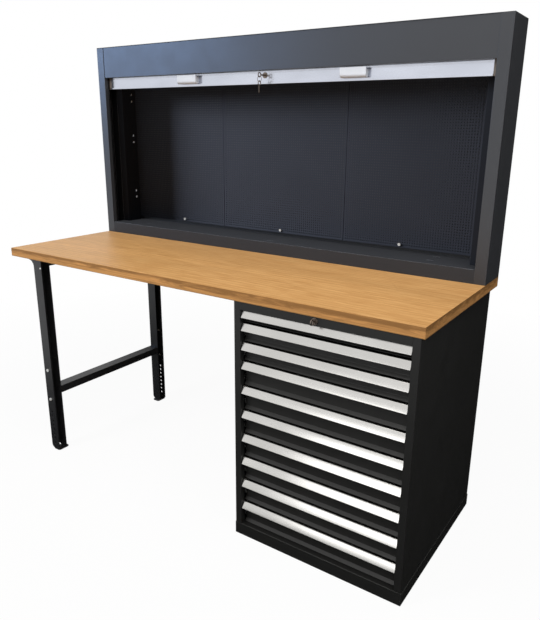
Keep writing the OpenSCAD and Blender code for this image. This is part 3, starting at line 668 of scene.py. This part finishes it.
class WORKBENCH_OT_make_pull_ends(bpy.types.Operator):
    """Makes the end plates that close the finger pulls' troughs"""

    bl_idname = "workbench.make_pull_ends"
    bl_label = "Make the pull ends"

    def execute(self, context):
        wall, steps = sizes().pull_wall, 2 * sizes().arc_steps
        lo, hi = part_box("shutter_pulls")
        reach, rounding = (hi.y - lo.y) / 2 - wall, 0.2 * wall
        middle, floor, rim = (lo.y + hi.y) / 2, lo.z + (hi.y - lo.y) / 2, hi.z - 3 * wall
        arc = [math.pi * (1 + i / steps) for i in range(steps + 1)]
        trough = [(middle + reach * math.cos(t), floor + reach * math.sin(t)) for t in arc]
        trough += [(middle + reach, rim), (middle - reach, rim)]
        count = len(trough)
        ends = sorted({round(corner.x, 4) for corner in self.corners()})
        names = ["pull_end_" + side for side in ("left_outer", "left_inner", "right_inner", "right_outer")]
        for name, start, way in zip(names, ends, (1, -1, 1, -1)):
            points = [(x, y, z) for x in (start, start + way * wall) for y, z in trough]
            faces = band(0, count, count) + [tuple(range(count)), tuple(range(count, 2 * count))]
            plate = piece(name, mesh_from(name, points, faces), "pull_plastic", "shutter")
            round_edges(plate, rounding)
        return {"FINISHED"}

    def corners(self):
        """A corner at each end of each pull."""
        points = [v.co for v in NODES["shutter_pulls"].data.vertices]
        for side in (-1, 1):
            own = [p for p in points if p.x * side > 0]
            yield min(own, key=lambda p: p.x)
            yield max(own, key=lambda p: p.x)


class WORKBENCH_OT_make_leg_screws(bpy.types.Operator):
    """Makes the button-head screws near the top of the legs"""

    bl_idname = "workbench.make_leg_screws"
    bl_label = "Make the leg screws"

    def execute(self, context):
        s = sizes()
        lo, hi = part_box("leg_frame")
        x, z = hi.x - s.screw_reach, hi.z - s.screw_drop
        for name, y, way in (("front", lo.y, -1), ("rear", hi.y, 1)):
            mesh = self.head("leg_screw_" + name, x, y, z, way, s.screw_reach)
            piece("leg_screw_" + name, mesh, "zinc_steel", "bench")
        return {"FINISHED"}

    def head(self, name, x, y, z, way, reach):
        """A domed head that looks to the front or the back, with a six-sided socket."""
        sides = 24
        # Radius and height of the dome's rings, in shares of the head's radius
        dome = ((1.0, 0.0), (1.0, 0.25), (0.93, 0.5), (0.76, 0.7), (0.5, 0.8))
        # The socket's radius, and the heights of its rim and floor, in the same shares
        socket, levels = 0.42, (0.8, 0.35)
        turns = [2 * math.pi * i / sides for i in range(sides)]
        rings = [[(r, t, h) for t in turns] for r, h in dome]
        flat = math.cos(math.pi / 6)
        hexagon = [socket * flat / math.cos((t + math.pi / 6) % (math.pi / 3) - math.pi / 6) for t in turns]
        rings += [[(r, t, h) for r, t in zip(hexagon, turns)] for h in levels]
        points = [(x + reach * r * math.cos(t), y + way * reach * h, z + reach * r * math.sin(t))
                  for ring in rings for r, t, h in ring]
        last = (len(rings) - 1) * sides
        faces = [face for start in range(0, last, sides) for face in band(start, start + sides, sides)]
        faces += [tuple(range(sides)), tuple(range(last, last + sides))]
        return mesh_from(name, points, faces, smooth_below=math.radians(35))


class WORKBENCH_OT_make_shelf_clips(bpy.types.Operator):
    """Makes the small clips that stand in the liners' shelf slots"""

    bl_idname = "workbench.make_shelf_clips"
    bl_label = "Make the shelf clips"

    def execute(self, context):
        s = sizes()
        liner = min(abs(v.co.x) for v in NODES["side_liners"].data.vertices)
        y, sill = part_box("tool_panels")[0].y - s.slot_inset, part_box("sill")[1].z
        middles = [sill + row + share * s.slot_pair for row in s.slot_heights for share in (-0.5, 0.5)]
        rounding = 0.15 * s.clip_wall
        for side, way in (("left", -1), ("right", 1)):
            points, faces = [], []
            for z in middles:
                self.hook(points, faces, liner, way, y, z - s.slot_height / 2)
            mesh = mesh_from("shelf_clips_" + side, points, faces)
            round_edges(piece("shelf_clips_" + side, mesh, "pull_plastic", "bench"), rounding)
        return {"FINISHED"}

    def hook(self, points, faces, liner, way, y, foot):
        """An arm that rests on a slot's lower edge, and a tongue that stands up from it in the cabinet."""
        s = sizes()
        wall, reach, top = s.clip_wall, 3 * s.clip_wall, 0.9 * s.slot_height
        outline = ((-wall, 0.0), (reach - wall, 0.0), (reach, 0.0), (reach, wall), (reach, top),
                   (reach - wall, top), (reach - wall, wall), (-wall, wall))
        start, count = len(points), len(outline)
        points.extend((way * (liner - u), y + share * s.clip_width, foot + v)
                      for share in (-0.5, 0.5) for u, v in outline)
        faces.extend(band(start, start + count, count))
        quads = ((0, 1, 6, 7), (1, 2, 3, 6), (3, 4, 5, 6))
        for end in (start, start + count):
            faces.extend(tuple(end + i for i in quad) for quad in quads)


class WORKBENCH_OT_set_stage(bpy.types.Operator):
    """Sets the camera, the pale floor, the soft lamps and the white surroundings"""

    bl_idname = "workbench.set_stage"
    bl_label = "Set the stage"

    def execute(self, context):
        stage = context.scene.workbench_stage
        self.camera(stage)
        self.floor()
        self.card()
        self.world(stage.sky)
        top = self.lamp(
            "top", stage.top, place=(1.15, -1.0, 3.3), target=(0.4, 0.0, 0.8), size=(2.4, 2.4),
            colour=(1.0, 0.97, 0.93))
        key = self.lamp(
            "key", stage.key, place=(-1.4, -2.9, 3.3), target=(0.0, 0.0, 0.9), size=(1.0, 1.0),
            colour=(0.96, 0.98, 1.0))
        key.visible_glossy = False
        sheets = [*PANELS, NODES["side_liners"]]
        for lamp in (top, key):
            self.link(lamp, sheets, "EXCLUDE")
        window = self.lamp(
            "window", stage.window, place=(-2.1, -1.3, 1.95), target=(-0.7, 0.2, 1.55), size=(1.4, 0.9),
            colour=(0.33, 0.55, 1.0))
        window.visible_diffuse = False
        painted = [NODES[name] for name in ("fascia", "upper_sides", "sill", "leg_frame")]
        self.link(window, painted, "INCLUDE")
        side = self.lamp(
            "side", stage.side, place=(-2.7, -0.45, 2.0), target=(0.0, 0.32, 1.15), size=(0.8, 0.8),
            colour=(0.86, 0.91, 1.0))
        side.visible_glossy = False
        self.link(side, sheets, "INCLUDE")
        strip = self.lamp(
            "strip", stage.strip, place=(-0.1, -2.8, 0.75), target=(0.6, -0.3, 0.4), size=(1.1, 0.8),
            colour=(1.0, 1.0, 1.0))
        strip.visible_diffuse = False
        context.scene.view_settings.view_transform = "Standard"
        return {"FINISHED"}

    def camera(self, stage):
        """The camera at the stage's place, turned by its yaw, pitch and roll."""
        yaw, pitch, roll = stage.camera_yaw, stage.camera_pitch, stage.camera_roll
        sight = Vector((math.sin(yaw) * math.cos(pitch), math.cos(yaw) * math.cos(pitch), math.sin(pitch)))
        level = Vector((math.cos(yaw), -math.sin(yaw), 0.0))
        rise = level.cross(sight)
        right = math.cos(roll) * level + math.sin(roll) * rise
        up = math.cos(roll) * rise - math.sin(roll) * level
        data = bpy.data.cameras.new("camera")
        data.lens, data.sensor_width = stage.lens, 36.0
        data.shift_x, data.shift_y = stage.shift
        camera = bpy.data.objects.new("camera", data)
        bpy.context.scene.collection.objects.link(camera)
        turn = Matrix((right, up, -sight)).transposed().to_4x4()
        camera.matrix_world = Matrix.Translation(stage.camera_place) @ turn
        bpy.context.scene.camera = camera

    def seen(self, tree):
        """1 for what the camera, metal and glass see, and 0 for light that falls on a surface."""
        path = tree.nodes.new("ShaderNodeLightPath")
        seen = path.outputs["Is Camera Ray"]
        for ray in ("Is Glossy Ray", "Is Transmission Ray"):
            most = tree.nodes.new("ShaderNodeMath")
            most.operation = "MAXIMUM"
            tree.links.new(seen, most.inputs[0])
            tree.links.new(path.outputs[ray], most.inputs[1])
            seen = most.outputs[0]
        return seen

    def sheet(self, name, points, faces, material):
        """A sheet of the stage, which isn't part of the bench."""
        made = bpy.data.objects.new(name, mesh_from(name, points, faces))
        bpy.context.scene.collection.objects.link(made)
        made.data.materials.append(material)
        return made

    def floor(self):
        """A pale floor that keeps the shadow near the bench and runs out to white."""
        half, near, far = 9.0, 1.4, 3.0
        white_near, white_far = 0.95, 1.0
        f = Finish("pale_floor", Base_Color=(0.86, 0.86, 0.86, 1.0), Roughness=0.9, Specular_IOR_Level=0.0)
        away = f.node("VectorMath", {0: f.place}, operation="LENGTH").outputs["Value"]
        share = f.math("MULTIPLY", self.seen(f.tree), f.span(away, white_near, white_far, near, far))
        white = f.node("Emission", {"Strength": 1.0})
        both = f.node("MixShader", {0: share, 1: f.shader.outputs[0], 2: white.outputs[0]})
        f.tree.links.new(both.outputs[0], f.tree.nodes["Material Output"].inputs["Surface"])
        points = [(-half, -half, 0), (half, -half, 0), (half, half, 0), (-half, half, 0)]
        self.sheet("floor", points, [(0, 1, 2, 3)], f.material)

    def card(self):
        """Black card on the floor and behind the bench, which only reflections see, as a studio sets it."""
        left, right, front, back = -1.8, 2.5, -2.6, 1.0
        foot, low, high = 0.002, 0.78, 2.4
        step, turn, margin = -1.15, -0.8, 0.03
        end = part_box("cabinet_plinth")[1].x + margin
        f = Finish("black_card", Base_Color=(0.02, 0.02, 0.02, 1.0), Roughness=1.0, Specular_IOR_Level=0.0)
        points = [(step, front, foot), (right, front, foot), (right, back, foot), (left, back, foot),
                  (left, back, low), (end, back, low), (end, back, foot), (end, back, high),
                  (right, back, high), (left, turn, foot), (step, turn, foot)]
        faces = [(0, 1, 2, 6, 3, 9, 10), (3, 6, 5, 4), (6, 2, 8, 7, 5)]
        card = self.sheet("black_card", points, faces, f.material)
        card.visible_camera = card.visible_diffuse = card.visible_shadow = card.visible_transmission = False

    def link(self, lamp, pieces, state):
        """Keeps a lamp's light to some pieces, or off them."""
        linked = bpy.data.collections.new("linked_to_" + lamp.name)
        for made in pieces:
            linked.objects.link(made)
        for row in linked.collection_objects:
            row.light_linking.link_state = state
        lamp.light_linking.receiver_collection = linked

    def world(self, sky):
        """White surroundings for the camera and reflections, and an even light of the given strength."""
        world = bpy.data.worlds.new("studio")
        world.use_nodes = True
        tree = world.node_tree
        tree.nodes.clear()
        out = tree.nodes.new("ShaderNodeOutputWorld")
        soft = tree.nodes.new("ShaderNodeBackground")
        soft.inputs["Color"].default_value = (0.95, 0.98, 1.0, 1.0)
        soft.inputs["Strength"].default_value = sky
        white = tree.nodes.new("ShaderNodeBackground")
        white.inputs["Color"].default_value = (1.0, 1.0, 1.0, 1.0)
        both = tree.nodes.new("ShaderNodeMixShader")
        tree.links.new(self.seen(tree), both.inputs[0])
        tree.links.new(soft.outputs[0], both.inputs[1])
        tree.links.new(white.outputs[0], both.inputs[2])
        tree.links.new(both.outputs[0], out.inputs["Surface"])
        bpy.context.scene.world = world

    def lamp(self, name, power, place, target, size, colour):
        """A soft rectangular lamp that looks at its target."""
        data = bpy.data.lights.new(name, "AREA")
        data.shape = "RECTANGLE"
        data.energy, data.color = power, colour
        data.size, data.size_y = size
        lamp = bpy.data.objects.new(name, data)
        bpy.context.scene.collection.objects.link(lamp)
        lamp.location = place
        lamp.rotation_euler = (Vector(target) - Vector(place)).to_track_quat("-Z", "Y").to_euler()
        return lamp


STEPS = (
    WORKBENCH_OT_finish_frame,
    WORKBENCH_OT_make_tool_panels,
    WORKBENCH_OT_make_handles,
    WORKBENCH_OT_make_curtain,
    WORKBENCH_OT_make_pull_ends,
    WORKBENCH_OT_make_leg_screws,
    WORKBENCH_OT_make_shelf_clips,
    WORKBENCH_OT_set_stage,
)


class WORKBENCH_PT_build(bpy.types.Panel):
    """Lists the steps that dress the workbench, and the values that they use"""

    bl_idname = "WORKBENCH_PT_build"
    bl_label = "Workbench"
    bl_space_type = "VIEW_3D"
    bl_region_type = "UI"
    bl_category = "Workbench"

    def draw(self, context):
        for step in STEPS:
            self.layout.operator(step.bl_idname)
        for name, group in GROUPS.items():
            box = self.layout.box()
            for key in group.__annotations__:
                box.prop(getattr(context.scene, name), key)


GROUPS = {"workbench_sizes": BenchSizes, "workbench_colours": BenchColours, "workbench_stage": BenchStage}
CLASSES = (*GROUPS.values(), *STEPS, WORKBENCH_PT_build)


def register():
    for made in CLASSES:
        bpy.utils.register_class(made)
    for name, group in GROUPS.items():
        setattr(bpy.types.Scene, name, PointerProperty(type=group))


def unregister():
    for name in GROUPS:
        delattr(bpy.types.Scene, name)
    for made in reversed(CLASSES):
        bpy.utils.unregister_class(made)


def main():
    register()
    for step in STEPS:
        group, action = step.bl_idname.split(".")
        getattr(getattr(bpy.ops, group), action)()


if __name__ == "__main__":
    main()
